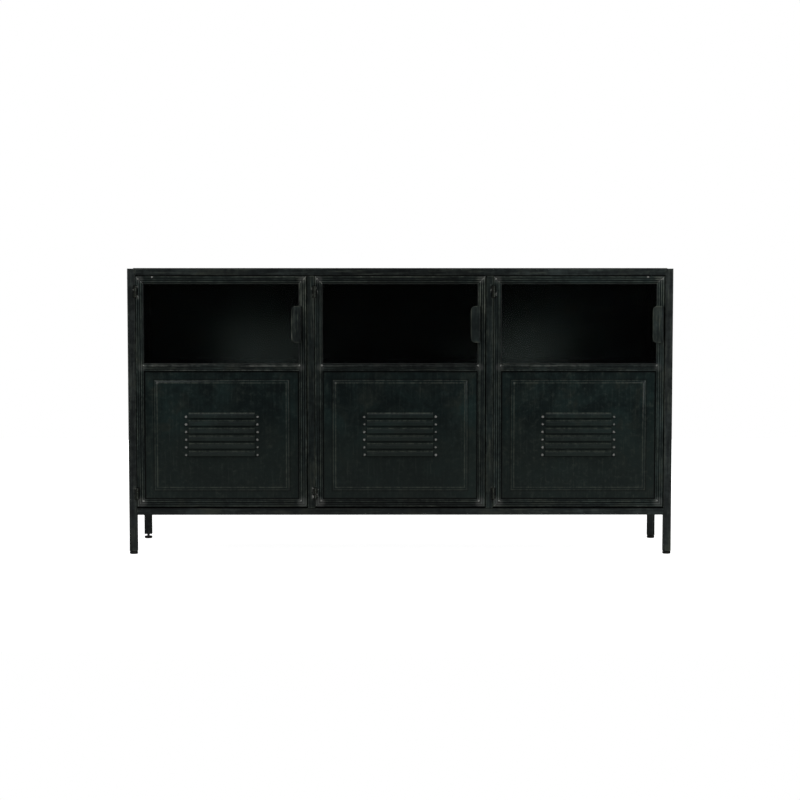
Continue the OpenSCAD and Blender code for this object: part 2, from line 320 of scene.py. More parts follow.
class Finish:
    """A material with a Principled shader and the nodes that drive it."""

    def __init__(self, name):
        self.material = bpy.data.materials.new(name)
        self.material.use_nodes = True
        self.tree = self.material.node_tree
        self.shader = self.tree.nodes["Principled BSDF"]
        self.here = self.node("TexCoord", {}, {}, "Object")

    def node(self, kind, settings, inputs, output=0):
        """Add any node: its settings first, then what its sockets hold or are linked to."""
        made = self.tree.nodes.new("ShaderNode" + kind)
        for key, value in settings.items():
            setattr(made, key, value)
        for key, value in inputs.items():
            self.feed(made.inputs[key], value)
        return Value(self, made.outputs[output])

    def feed(self, socket, value):
        """Link a socket to a Value, or set it to a number, a vector or a colour."""
        if isinstance(value, Value):
            self.tree.links.new(value.socket, socket)
        else:
            socket.default_value = value

    def maths(self, operation, *terms):
        """One Math node on two or three terms, which are numbers or Values."""
        return self.node("Math", {"operation": operation}, dict(enumerate(terms)))

    def parts(self, vector):
        """The three coordinates of a vector, each as a Value."""
        split = self.node("SeparateXYZ", {}, {0: vector}).socket.node
        return [Value(self, out) for out in split.outputs]

    def distance(self, place):
        """How far the surface is from a place on the object."""
        return self.node("VectorMath", {"operation": "DISTANCE"}, {0: self.here, 1: place}, "Value")

    def noise(self, scale, detail, rough, stretch=(1, 1, 1), shift=(0, 0, 0), warp=0.0):
        """Cloudy noise, whose cells grow longer where stretch is less than 1."""
        at = self.node("Mapping", {"vector_type": "POINT"},
                       {"Vector": self.here, "Location": shift, "Scale": stretch})
        return self.node("TexNoise", {}, {"Vector": at, "Scale": scale, "Detail": detail,
                                          "Roughness": rough, "Distortion": warp})

    def blend(self, factor, first, second):
        """A colour between two others."""
        ends = [end if isinstance(end, Value) else (*end, 1) for end in (first, second)]
        return self.node("Mix", {"data_type": "RGBA"},
                         {"Factor": factor, 6: ends[0], 7: ends[1]}, 2)

    def bump(self, height, strength, distance):
        """A normal that follows small changes of height."""
        return self.node("Bump", {}, {"Height": height, "Strength": strength,
                                      "Distance": distance})

    def set(self, **sockets):
        """Feed the shader's sockets under short names, and hand over the material."""
        names = {"colour": "Base Color", "rough": "Roughness", "metal": "Metallic",
                 "normal": "Normal", "coat": "Coat Weight", "coat_rough": "Coat Roughness",
                 "specular": "Specular IOR Level", "clear": "Transmission Weight", "ior": "IOR",
                 "glow": "Emission Color", "glow_level": "Emission Strength"}
        for key, value in sockets.items():
            if isinstance(value, tuple):
                value = (*value, 1)
            self.feed(self.shader.inputs[names[key]], value)
        return self.material


# Linear colours: the paint's dark and light clouds, its warm and olive casts, the dirt and painted
# shade in its grooves, gaps and hollows, its rubbed places and painted highlights, and bare steel,
# which also serves for painted glints
INK = (0.0022, 0.0054, 0.0054)
TEAL = (0.0068, 0.0155, 0.0146)
UMBER = (0.0112, 0.0126, 0.0092)
OLIVE = (0.0082, 0.0124, 0.0108)
ASH = (0.066, 0.076, 0.060)
STEEL = (0.42, 0.42, 0.40)
DIRT_AND_SHADE = (0.0005, 0.0008, 0.0008)


def edge_distance(here, centre, half):
    """How far the surface of a box is from its nearest edge: the sum of the two smaller gaps."""
    gaps = [half[k] - abs(here[k] - centre[k]) for k in range(3)]
    return gaps[0] + gaps[1] + gaps[2] - gaps[0].most(gaps[1]).most(gaps[2])


def paint_patterns(f, centre, along):
    """Noises of the paint, long along one axis or even; every piece starts at its own place."""
    seed = [centre[0] * 3.1 + along, centre[1] * 1.7, centre[2] * 2.3]
    elsewhere = [c + 3 for c in seed]
    even = (1, 1, 1)
    thin = [1.0, 1.0, 1.0]
    thin[along] = 0.05
    return {"streak": f.noise(170, 4, 0.62, thin, seed),
            "scratch": f.noise(420, 3, 0.55, thin, seed),
            "cloud": f.noise(8, 5, 0.62, even, seed, 0.8),
            "warm": f.noise(15, 4, 0.6, even, elsewhere, 0.5),
            "mottle": f.noise(70, 5, 0.68, even, seed, 0.4),
            "grain": f.noise(700, 3, 0.6, even, seed)}


def painted(name, low, high, along, tone=1.0, wear=1.0, spots=(), marks=(), streaky=1.0,
            cast=0.5, olive=None):
    """Satin black paint on one box-shaped piece, rubbed along its edges and streaked along it.

    tone lightens the paint and wear its rubbing, streaky trades clouds for streaks, cast keeps
    the teal, and olive gives the heights between which an olive cast comes in.
    """
    centre = (Vector(low) + Vector(high)) / 2
    half = (Vector(high) - Vector(low)) / 2
    f = Finish(name)
    here = f.parts(f.here)
    edge = edge_distance(here, centre, half)
    pattern = paint_patterns(f, centre, along)
    streak, mottle, grain = pattern["streak"], pattern["mottle"], pattern["grain"]

    # clouds of the paint, a dusty film, and a painted side light: the paint is lighter towards both
    # ends of the cabinet, most at the right, and darker in the middle
    brushed, spotty = 0.28 * streaky, 0.16 + 0.16 * streaky
    spread = 0.17 - 0.065 * streaky
    haze = pattern["cloud"] * (1 - brushed - spotty) + mottle * spotty + streak * brushed
    haze = haze.ease(0.515 - spread, 0.515 + spread)
    painted_side_light = (0 - here[0]).ease(0.10, 0.45) * 0.34 + here[0].ease(0.08, 0.45) * 0.80 + 0.70
    film = streak * (0.5 * streaky) + mottle * (0.75 - 0.5 * streaky) + grain * 0.25
    film = film.ease(0.50, 0.66) * (0.08 + 0.16 * streaky) * painted_side_light

    # wear: fine scratches, rubbed edges, and bare steel on the corners and at the spots, some of
    # which are painted highlights
    lines = pattern["scratch"].ease(0.56, 0.68) * streak.ease(0.46, 0.62) * (0.65 * wear * streaky)
    patchy = (streak * 0.55 + mottle * 0.45).ease(0.44, 0.60)
    rub_and_sheen = edge.ease(0.0034, 0.0008) * (patchy * 0.55 + 0.08) * wear
    chipped = (mottle * 0.5 + streak * 0.5).ease(0.58, 0.68) * (0.4 * wear)
    bare_and_glint = edge.ease(0.0020, 0.0003) * chipped
    ragged = (grain + mottle - 1.0) * 0.006
    for place, radius, amount in spots:
        bare_and_glint = bare_and_glint.most((f.distance(place) + ragged).ease(radius, radius * 0.3) * amount)
    # the marks add bare steel and painted glints, rubbing and painted highlights, and dirt and painted
    # shade
    dirt_and_shade = rub_and_sheen * 0
    for mark in marks:
        more = mark(f, mottle, streak)
        bare_and_glint, rub_and_sheen, dirt_and_shade = [old.most(new) for old, new in zip((bare_and_glint, rub_and_sheen, dirt_and_shade), more)]

    base = f.blend(haze, tinted(INK, tone, cast), tinted(TEAL, tone, cast))
    warmth = pattern["warm"].ease(0.46, 0.66) * haze * 0.75
    base = f.blend(warmth, base, tinted(UMBER, tone, 1.0))
    if olive:
        low_down = here[2].ease(*olive) * (0.35 + mottle * 0.7)
        base = f.blend(low_down, base, tinted(OLIVE, tone, 1.0))
    # the painted side light scales the paint's colour
    base = f.node("VectorMath", {"operation": "SCALE"}, {0: base, "Scale": painted_side_light})
    # ash grey for rubbing, scratches, dust and painted highlights; near black for dirt and painted
    # shade
    rubbed_and_lit = f.blend(rub_and_sheen.most(lines).most(film), base, ASH)
    colour = f.blend(bare_and_glint, f.blend(dirt_and_shade, rubbed_and_lit, DIRT_AND_SHADE), STEEL)
    rough = 0.56 - haze * 0.10 - rub_and_sheen * 0.06 + grain * 0.10 - bare_and_glint * 0.12
    height = mottle * 0.35 + grain * 0.25 + streak * 0.4
    return f.set(colour=colour, rough=rough, metal=(bare_and_glint * 0.8).least(1.0),
                 normal=f.bump(height, 0.30, 0.0006), specular=0.06,
                 coat=0.30 - rub_and_sheen * 0.1, coat_rough=0.22)


def tinted(colour, tone, cast):
    """A colour made lighter by tone and drawn towards grey as cast falls from 1 to 0."""
    grey = sum(colour) / 3
    return tuple((grey + (c - grey) * cast) * tone for c in colour)


# The marks below are functions that give three masks: bare steel and painted glints, rubbed paint
# and painted highlights, and dirt and painted shade. Ridges of the door frame's section are (distance
# from its edge, strength of the painted highlight), grooves are (distance, strength of the painted
# shade), and the ledge highlight is how bright the painted highlight on each door's middle rail is.
RIDGE_HIGHLIGHTS = [(0.0022, 0.28), (0.0078, 0.20), (0.0139, 0.44), (0.0184, 0.30)]
GROOVE_SHADE = [(0.0050, 0.85), (0.0106, 0.80), (0.0169, 0.60)]
LEDGE_HIGHLIGHT = {"left": 0.85, "centre": 0.25, "right": 0.55}


def frame_marks(box, grip, highlight_level):
    """Filed mitres, painted highlights and glints on the ridges, painted shade in the grooves and a
    painted shadow beside the handle.
    """
    low, high = box

    def mark(f, mottle, streak):
        x, _, z = f.parts(f.here)
        across = (high[0] - low[0]) / 2 - abs(x - (low[0] + high[0]) / 2)
        down = (high[2] - low[2]) / 2 - abs(z - (low[2] + high[2]) / 2)
        patchy = (mottle * 0.6 + streak * 0.4).ease(0.44, 0.60)
        upper = z.ease(low[2] + 0.2, high[2] - 0.05) * 0.5 + 0.3
        mitre = abs(across - down).ease(0.0016, 0.0003) * across.ease(0.021, 0.018) * patchy * upper

        in_frame = across.least(down)
        rise = z - MID_RAIL
        on_rail = across.ease(STILE - 0.0002, STILE + 0.0004)
        # the painted highlights on the ridges are brighter near the handle
        by_handle = x.ease(high[0] - 0.03, high[0] - 0.02) * z.ease(high[2] - 0.16, high[2] - 0.02)
        rub_and_sheen, dirt_and_shade, ledge_glint = mottle * 0, mottle * 0, mottle * 0
        # painted highlights along the ridges, and a painted glint on the middle rail's ridges
        for place, amount in RIDGE_HIGHLIGHTS:
            line = abs(in_frame - place).ease(0.0016, 0.0005)
            ledge = abs(rise - place).ease(0.0016, 0.0005) * on_rail
            rub_and_sheen = rub_and_sheen.most(line * (amount + by_handle * 1.6)).most(ledge * amount * highlight_level * 1.5)
            ledge_glint = ledge_glint.most(ledge * (amount - 0.20) * highlight_level)
        # painted shade along the grooves
        for place, amount in GROOVE_SHADE:
            line = abs(in_frame - place).ease(0.0015, 0.0007)
            ledge = abs(rise - place).ease(0.0015, 0.0007) * on_rail
            dirt_and_shade = dirt_and_shade.most(line.most(ledge) * amount)
        dirt_and_shade = dirt_and_shade * (0.75 + patchy * 0.25)
        # painted shadow on the stile beside the handle
        beside = abs(x - grip[1][0] - 0.0012).ease(0.0030, 0.0014)
        tall = (z - grip[0][2]).ease(0.0, 0.006) * (grip[1][2] - z).ease(-0.004, 0.004)
        return (mitre.most(ledge_glint * patchy), rub_and_sheen.least(1.0) * (patchy * 0.75 + 0.25),
                dirt_and_shade.most(beside * tall * 0.9))
    return mark


def hinge_marks(side):
    """Rubbing round the two hinges of a door, and painted shade round their knuckles."""
    pin_x = hinge_place(side)[0]

    def mark(f, mottle, streak):
        x, _, z = f.parts(f.here)
        away = abs(x - pin_x)
        rise = abs(z - HINGE_Z[0]).least(abs(z - HINGE_Z[1]))
        ragged = (mottle - 0.5) * 0.012
        # painted shade: a dark ring round each hinge's knuckles and a dark line at their ends
        ring = abs(away - 0.0064).ease(0.0017, 0.0007) * rise.ease(0.0162, 0.0150)
        foot = abs(rise - 0.0165).ease(0.0016, 0.0006) * away.ease(0.0072, 0.0060)
        rub_and_sheen = (away + ragged).ease(0.0125, 0.0070) * (rise + ragged).ease(0.024, 0.017)
        rub_and_sheen = rub_and_sheen * (mottle * 0.7 + streak * 0.3).ease(0.47, 0.60)
        return rub_and_sheen * mottle.ease(0.56, 0.66) * 0.8, rub_and_sheen * 0.6, ring.most(foot) * 0.95
    return mark


def gap_shade_marks(level, way):
    """Painted shade along the edge of a rail that faces the doors."""
    def mark(f, mottle, streak):
        z = f.parts(f.here)[2]
        return mottle * 0, mottle * 0, ((z - level) * way).ease(0.0032, 0.0012) * 0.95
    return mark


# ---------------------------------------------------------------- carcass

def tube(node, axis, tone, wear=1.0, cuts=(), cast=0.4, marks=(), foot_end=False):
    """A square tube with rounded long edges in place of a solid of the frame."""
    low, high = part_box(node)
    piece = block(node + "_tube", low, high)
    if foot_end:
        open_foot(piece)
    round_along(piece, axis, TUBE_R)
    carve(piece, *cuts)
    smooth(piece)
    finish = painted(node + "_finish", low, high, axis, tone, wear, cast=cast, marks=marks)
    fit_out(piece, finish, "carcass", "tube_paint", node)


def open_foot(piece):
    """Hollow the lower end of a leg, where its threaded plug sits."""
    edit(piece)
    pick_faces(piece, lambda centre, normal: normal.z < -0.9)
    wall, depth = 0.002, 0.024
    bpy.ops.mesh.inset(thickness=wall)
    bpy.ops.mesh.extrude_region_move(TRANSFORM_OT_translate={"value": (0, 0, depth)})
    bpy.ops.object.mode_set(mode="OBJECT")


def hinge_place(side):
    """A point on the upright axis that one door swings about."""
    for joint in frame["record"]["behaviour"]["joints"]:
        if joint["name"] == "door_" + side + "_hinge":
            return joint["pos_m"]


def knuckle_room(side, upper, gap):
    """Cylinders that clear the upper or the lower knuckles of one door's two hinges."""
    x, y = hinge_place(side)[:2]
    cutters = []
    for z in HINGE_Z:
        base = z if upper else z - KNUCKLE_L - gap
        cutters.append(rod("room", (x, y, base), KNUCKLE_R + gap, KNUCKLE_L + gap))
    return cutters


def hinge_cuts(side, loose_upper):
    """Room in a piece for a door's knuckles: those that turn beside it need a gap."""
    return (knuckle_room(side, loose_upper, KNUCKLE_GAP)
            + knuckle_room(side, not loose_upper, 0.0))


def carcass():
    """The welded frame of square tubes and the sheet on top of it."""
    for corner in CORNERS:
        cuts, marks = [], []
        if corner == "front_left":
            cuts = hinge_cuts("left", True)
            marks = [hinge_marks("left")]
        tube("leg_" + corner, 2, tone=1.8, cuts=cuts, cast=0.3, marks=marks, foot_end=True)
    for level, tone, face, way in [("top", 1.55, 0, 1), ("bottom", 1.7, 1, -1)]:
        # painted shade along the rails' edges beside the doors' gaps
        gap = gap_shade_marks(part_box(level + "_rail_front")[face][2], way)
        for side in ["front", "rear"]:
            tube(level + "_rail_" + side, 0, tone=tone, wear=0.7, marks=[gap])
        for side in ["left", "right"]:
            tube(level + "_rail_" + side, 1, tone=tone, wear=0.7)
    for name, side in [("mullion_left", "centre"), ("mullion_right", "right")]:
        tube(name, 2, tone=1.4, cuts=hinge_cuts(side, True), cast=0.6, marks=[hinge_marks(side)])
    weld_beads()
    low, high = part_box("top_sheet")
    top = block("top_plate", low, high)
    soften(top, 0.0005, 3)
    fit_out(top, painted("top_plate_finish", low, high, 0, 1.2, streaky=0.6), "carcass",
            "sheet_paint", "top_sheet")


def weld_beads():
    """Small beads under the bottom rails, in the corners where they meet the legs."""
    beads = []
    inset = 0.002
    for end in ("front", "rear"):
        for side in ("left", "right"):
            low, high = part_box("leg_" + end + "_" + side)
            x = high[0] if side == "left" else low[0]
            y = high[1] if end == "front" else low[1]
            side_rail, end_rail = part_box("bottom_rail_" + side)[0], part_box("bottom_rail_" + end)[0]
            beads.append(rod("bead", (x, end_rail[1] + inset, end_rail[2]),
                             BEAD_R, BEAD_L, "Y", 12))
            beads.append(rod("bead", (side_rail[0] + inset, y, side_rail[2]),
                             BEAD_R, BEAD_L, "X", 12))
    welds = join("leg_weld_beads", beads)
    soften(welds, BEAD_R / 2)
    low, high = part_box("bottom_rail_front")
    fit_out(welds, painted("weld_finish", low, high, 0, 1.6), "carcass", "tube_paint")


# ---------------------------------------------------------------- doors

def frame_section():
    """The door frame's section: rolled ridges, grooves, lip and box, as (across, back)."""
    points = [(0.0006, 0), (0.0040, 0), (0.0045, 0.0004), (0.0047, 0.0014), (0.0053, 0.0014),
              (0.0055, 0.0004), (0.0060, 0), (0.0095, 0), (0.0100, 0.0004), (0.0102, 0.0016),
              (0.0110, 0.0020)]
    # two round ridges, as (centre, radius, depth of the top, degrees where the arc starts)
    round_ridges = [(0.0139, 0.0028, 0.0002, 165), (0.0184, 0.0016, 0.0012, 150)]
    for centre, radius, top, degrees in round_ridges:
        for turn in range(degrees, 180 - degrees - 1, -15):
            a = math.radians(turn)
            points.append((centre + radius * math.cos(a), top + radius - radius * math.sin(a)))
    points += [(STILE, LIP - 0.0004), (STILE - 0.0004, LIP), (WEB, LIP), (WEB, DOOR_D - 0.0008),
               (WEB - 0.0008, DOOR_D), (0.0008, DOOR_D), (0, DOOR_D - 0.0008), (0, 0.0006)]
    return points


def trim(piece, place, normal):
    """Saw a bar off square to a normal and close the cut."""
    edit(piece, "SELECT")
    bpy.ops.mesh.bisect(plane_co=place, plane_no=normal, use_fill=True, clear_outer=True)
    close_up()


def stiles(low, high):
    """The two upright bars of a door frame, mitred at both ends."""
    bars = []
    for edge, way in [(low[0], 1), (high[0], -1)]:
        points = [(edge + way * u, FRONT + v, low[2]) for u, v in frame_section()]
        bar = section("upright", points, (0, 0, high[2] - low[2]))
        trim(bar, (edge, FRONT, low[2]), (way, 0, -1))
        trim(bar, (edge, FRONT, high[2]), (way, 0, 1))
        bars.append(bar)
    return bars


def rails(low, high):
    """The bottom, top and middle bars of a door frame."""
    bars = []
    for edge, way in [(low[2], 1), (high[2], -1)]:
        points = [(low[0], FRONT + v, edge + way * u) for u, v in frame_section()]
        bar = section("crossbar", points, (high[0] - low[0], 0, 0))
        trim(bar, (low[0], FRONT, edge), (-1, 0, way))
        trim(bar, (high[0], FRONT, edge), (1, 0, way))
        bars.append(bar)
    points = [(low[0] + STILE, FRONT + v, MID_RAIL + u) for u, v in frame_section()]
    bars.append(section("middle", points, (high[0] - low[0] - 2 * STILE, 0, 0)))
    return bars


def door_frame(side):
    """One door's uprights, with room for its hinges, and its three crossbars."""
    body = "door_" + side
    low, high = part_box("door_stiles_" + side)
    uprights = join("door_uprights_" + side, stiles(low, high))
    carve(uprights, *hinge_cuts(side, False))
    smooth(uprights)
    spots = door_spots(low, high)
    marks = [frame_marks((low, high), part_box("handle_" + side), LEDGE_HIGHLIGHT[side])]
    finish = painted("uprights_finish_" + side, low, high, 2, 1.95, 0.8, spots,
                     marks + [hinge_marks(side)], cast=0.6)
    fit_out(uprights, finish, body, "door_frame_paint", "door_stiles_" + side)
    bars = join("door_crossbars_" + side, rails(low, high))
    smooth(bars)
    finish = painted("crossbars_finish_" + side, low, high, 0, 1.2, 0.8, spots, marks, cast=0.7)
    fit_out(bars, finish, body, "door_frame_paint", "door_rails_" + side)


# Places along the cabinet where the top edges of the outer doors are chipped
CHIPS = (-0.682, 0.680)


def door_spots(low, high):
    """Filed and scuffed places as (place, radius, amount): small bright ones where welds were
    dressed, wide faint ones round them, and a chip on the top edge of the two outer doors."""
    spots = []
    for x, way in [(low[0], 1), (high[0], -1)]:
        for across, z, radius, amount in [(0.0190, MID_RAIL + 0.0150, 0.0034, 0.9),
                                          (0.0165, low[2] + 0.0165, 0.0034, 0.7),
                                          (0.0050, high[2] - 0.0065, 0.0032, 0.7),
                                          (0.0120, low[2] + 0.0120, 0.0190, 0.09),
                                          (0.0100, high[2] - 0.0080, 0.0150, 0.06),
                                          (0.0150, MID_RAIL + 0.0100, 0.0150, 0.06)]:
            spots.append(((x + way * across, FRONT, z), radius, amount))
    for x in CHIPS:
        spots.append(((x, FRONT, high[2] - 0.0008), 0.0030, 0.95))
    return spots


def pressing(side):
    """The low and high corners of the pressed field and its slope in one door's panel."""
    low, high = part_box("door_stiles_" + side)
    return ((low[0] + CREASE_SIDE, 0, low[2] + CREASE_BOTTOM),
            (high[0] - CREASE_SIDE, 0, MID_RAIL - CREASE_TOP))


def first_louvre(field):
    """Height of the lowest slot, with the louvres spaced about the middle of their field."""
    middle = (field[0][2] + field[1][2]) / 2
    return middle - ((LOUVRES - 1) * LOUVRE_PITCH + LOUVRE_TALL) / 2 + LOUVRE_LIFT


def pressed_panel(low, high, field):
    """The door's lower sheet: a flange round a raised field with sloping sides."""
    near, far = field
    reach = 1e-5
    start()
    bpy.ops.mesh.primitive_plane_add(size=1, rotation=(math.pi / 2, 0, 0))
    panel = named("louvred_panel")
    panel.scale = (high[0] - low[0], high[2] - low[2], 1)
    panel.location = ((low[0] + high[0]) / 2, FRONT + LIP, (low[2] + high[2]) / 2)
    bpy.ops.object.transform_apply(location=True, rotation=True, scale=True)
    edit(panel)
    for step in (0, SLOPE):
        for normal, axis in (((1, 0, 0), 0), ((0, 0, 1), 2)):
            for place in (near[axis] + step, far[axis] - step):
                bpy.ops.mesh.select_all(action="SELECT")
                bpy.ops.mesh.bisect(plane_co=Vector(normal) * place, plane_no=normal)
    bpy.ops.mesh.select_all(action="DESELECT")

    def within(point, axis, step):
        return near[axis] + step - reach < point[axis] < far[axis] - step + reach

    def on_crease(a, b):
        for step in (0, SLOPE):
            for axis, other in ((0, 2), (2, 0)):
                for place in (near[axis] + step, far[axis] - step):
                    line = abs(a[axis] - place) < reach and abs(b[axis] - place) < reach
                    if line and within(a, other, step) and within(b, other, step):
                        return True
        return False

    pick_faces(panel, lambda centre, normal: within(centre, 0, SLOPE) and within(centre, 2, SLOPE))
    bpy.ops.transform.translate(value=(0, -PRESS, 0))
    pick_edges(panel, on_crease)
    bpy.ops.mesh.bevel(offset=0.0022, segments=4, affect="EDGES")
    close_up()
    if panel.data.polygons[0].normal.y > 0:
        edit(panel, "SELECT")
        bpy.ops.mesh.flip_normals()
    modify(panel, "SOLIDIFY", thickness=SHEET, offset=-1)
    return panel


def hood(name, middle, z, arc, back):
    """One louvre as a solid: its arc pulled out straight, with quarter round ends."""
    half = LOUVRE_STRAIGHT / 2
    points = [(middle - half, FACE - out * MM, z + rise * MM) for rise, out in arc]
    points += [(middle - half, back, z + arc[-1][0] * MM), (middle - half, back, z)]
    piece = section(name, points, (2 * half, 0, 0))
    for way in (-1, 1):
        edit(piece)
        end = middle + way * half
        pick_faces(piece, lambda centre, normal: abs(centre.x - end) < CLOSE)
        bpy.ops.mesh.spin(steps=10, angle=way * math.pi / 2, center=(end, 0, z), axis=(0, 1, 0))
        close_up()
    edit(piece)
    bpy.ops.mesh.select_mode(type="FACE")
    bpy.ops.mesh.select_interior_faces()
    bpy.ops.mesh.delete(type="FACE")
    close_up()
    return piece


def louvred_panel(low, high):
    """The left door's pressed panel with its louvres, which are hollow and open below."""
    field = pressing("left")
    panel = pressed_panel(low, high, field)
    middle = (low[0] + high[0]) / 2
    inner_arc = [(rise if rise == 0 else rise - 0.8, out - 0.9)
                 for rise, out in LOUVRE_ARC if out > 1.0]
    inner_arc += [(inner_arc[-1][0] + 0.5, -2.2)]
    reach = LOUVRE_STRAIGHT / 2 + 0.011
    shells, rooms, slots = [], [], []
    for k in range(LOUVRES):
        z = first_louvre(field) + k * LOUVRE_PITCH
        shells.append(hood("hood", middle, z, LOUVRE_ARC, FACE + SHEET / 2))
        rooms.append(hood("room", middle, z, inner_arc, FACE + 3 * SHEET))
        slots.append(block("slot", (middle - reach, FACE - 0.0055, z - 0.001),
                           (middle + reach, FACE - 0.0001, z + 0.0001)))
    carve(panel, join("hoods", shells), operation="UNION")
    carve(panel, join("rooms", rooms), join("slots", slots))
    edit(panel)
    close_up()
    smooth(panel, 40)
    return panel


# How light each door's panel is painted; with the painted side light the right panel is the lightest
PANEL_TONE_AND_LIGHT = {"left": 1.04, "centre": 1.42, "right": 0.82}


def hung_panels():
    """A copy of the louvred panel in each door, with its own wear, painted highlights and shade, and
    painted lightness.
    """
    low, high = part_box("louvre_panel_left")
    master = louvred_panel(low, high)
    for side in SIDES:
        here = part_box("louvre_panel_" + side)
        field = pressing(side)
        piece = copy(master, "louvred_sheet_" + side, (here[0][0] - low[0], 0, 0))
        finish = painted("panel_finish_" + side, here[0], here[1], 2, PANEL_TONE_AND_LIGHT[side], 0.5,
                         panel_spots(here, field), [panel_marks(here, field)], streaky=0.4,
                         cast=1.0, olive=(0.42, 0.27))
        fit_out(piece, finish, "door_" + side, "panel_paint", "louvre_panel_" + side)
    bpy.data.objects.remove(master)


def panel_spots(here, field):
    """Bright places where tools rubbed the ends of the louvres and a pressed corner; those on the
    louvres' round ends are also painted highlights.
    """
    low, high = here
    spots = [((low[0] + 0.044, FRONT + 0.002, high[2] - 0.033), 0.0045, 0.10)]
    middle = (low[0] + high[0]) / 2
    # rubbed bare steel and a painted highlight at both round ends of each louvre
    for k in range(LOUVRES):
        z = first_louvre(field) + k * LOUVRE_PITCH + 0.0035
        for way in (-1, 1):
            spots.append(((middle + way * 0.0985, FRONT - 0.0005, z), 0.0046, 0.95))
    return spots


def panel_marks(here, field):
    """Rubbing and painted highlights on a panel's slope and louvres; painted shade under them."""
    low, high = here
    first = first_louvre(field)
    middle, level = (field[0][0] + field[1][0]) / 2, (field[0][2] + field[1][2]) / 2
    half_wide = (field[1][0] - field[0][0]) / 2 - SLOPE
    half_tall = (field[1][2] - field[0][2]) / 2 - SLOPE

    def mark(f, mottle, streak):
        x, y, z = f.parts(f.here)
        aside = abs(x - middle)
        out = (aside - half_wide).most(abs(z - level) - half_tall)
        patchy = (mottle * 0.6 + streak * 0.4).ease(0.40, 0.60) * 0.7 + 0.15
        # rubbing and a painted highlight along the crest and the lower edge of the slope
        crest = abs(out).ease(0.0022, 0.0004) * 0.55
        lower_edge = abs(out - SLOPE + 0.0012).ease(0.0020, 0.0004) * 0.42
        crest = crest.most(lower_edge) * patchy
        # dark patina and painted shade in the crease at the foot of the slope
        foot = abs(out - SLOPE - 0.0018).ease(0.0022, 0.0005)
        proud = FACE - y
        # painted highlight along the top of each louvre
        brow = proud.ease(0.0001, 0.0006) * proud.ease(0.0022, 0.0012)
        # painted shade under each louvre's slot
        drop = (first - z) / LOUVRE_PITCH
        turn = drop.maths("FRACT")
        under = turn.ease(0.12, 0.02) * drop.ease(-5.2, -5.1) * drop.ease(0.3, 0.2)
        under = under * aside.ease(0.107, 0.102) * proud.ease(0.0012, 0.0004)
        # painted shadow of the door frame round the panel's border
        side = half_wide + SLOPE + 0.0275 - aside
        ends = (z - low[2] - 0.0080).least(high[2] - 0.0004 - z)
        border = side.least(ends).ease(0.0050, 0.0014)
        dirt_and_shade = (under * 0.95).most(foot * 0.5).most(border * 0.9)
        lip = turn.ease(0.50, 0.92) * proud.ease(0.0012, 0.0030)
        return mottle * 0, crest.most(brow * patchy * 0.75).most(lip * 0.06), dirt_and_shade
    return mark


# ---------------------------------------------------------------- glass and fittings

def clear_glass():
    """Pale window glass, a little smeared."""
    f = Finish("glass_clear")
    smear = f.noise(14, 3, 0.6)
    return f.set(colour=(0.80, 0.90, 0.88), rough=smear * 0.06 + 0.06, clear=1.0, ior=1.46)


def bright_metal(name, colour, rough):
    """Plated or turned steel with a little tarnish."""
    f = Finish(name)
    cloud = f.noise(120, 4, 0.6)
    fine = f.noise(1400, 2, 0.5)
    dull = [c * 0.45 for c in colour]
    base = f.blend(cloud.ease(0.35, 0.65), dull, colour)
    return f.set(colour=base, rough=cloud * 0.25 + rough, metal=0.9,
                 normal=f.bump(fine, 0.15, 0.0002))


def foot_finish():
    """A black pad on a zinc plated stem."""
    f = Finish("foot_black_and_zinc")
    high_up = f.parts(f.here)[2].ease(0.0072, 0.0076)
    fine = f.noise(300, 4, 0.6)
    pad = f.blend(fine.ease(0.45, 0.65), (0.007, 0.007, 0.006), (0.022, 0.022, 0.019))
    return f.set(colour=f.blend(high_up, pad, (0.26, 0.26, 0.25)), metal=high_up * 0.9,
                 rough=fine * 0.25 + 0.35, normal=f.bump(fine, 0.2, 0.0003), specular=0.3)


def seal(side, finish):
    """A thin bead of black sealant where the pane meets the door frame."""
    low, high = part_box("door_stiles_" + side)
    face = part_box("glass_" + side)[0][1]
    inner = (low[0] + STILE, high[0] - STILE)
    levels = (MID_RAIL + STILE, high[2] - STILE)
    wide, deep = 0.0012, 0.0008
    strips = []
    for x in (inner[0], inner[1] - wide):
        strips.append(block("strip", (x, face - deep, levels[0]), (x + wide, face, levels[1])))
    for z in (levels[0], levels[1] - wide):
        strips.append(block("strip", (inner[0] + wide, face - deep, z),
                            (inner[1] - wide, face, z + wide)))
    bead = join("glass_seal_" + side, strips)
    soften(bead, 0.0003)
    fit_out(bead, finish, "door_" + side, "catch_plastic")


def black_plastic():
    """Black moulded plastic, also used for the sealant."""
    f = Finish("catch_black")
    fine = f.noise(1800, 2, 0.5)
    tone = f.blend(fine, (0.006, 0.006, 0.006), (0.014, 0.014, 0.014))
    return f.set(colour=tone, rough=fine * 0.2 + 0.45, normal=f.bump(fine, 0.3, 0.0002))


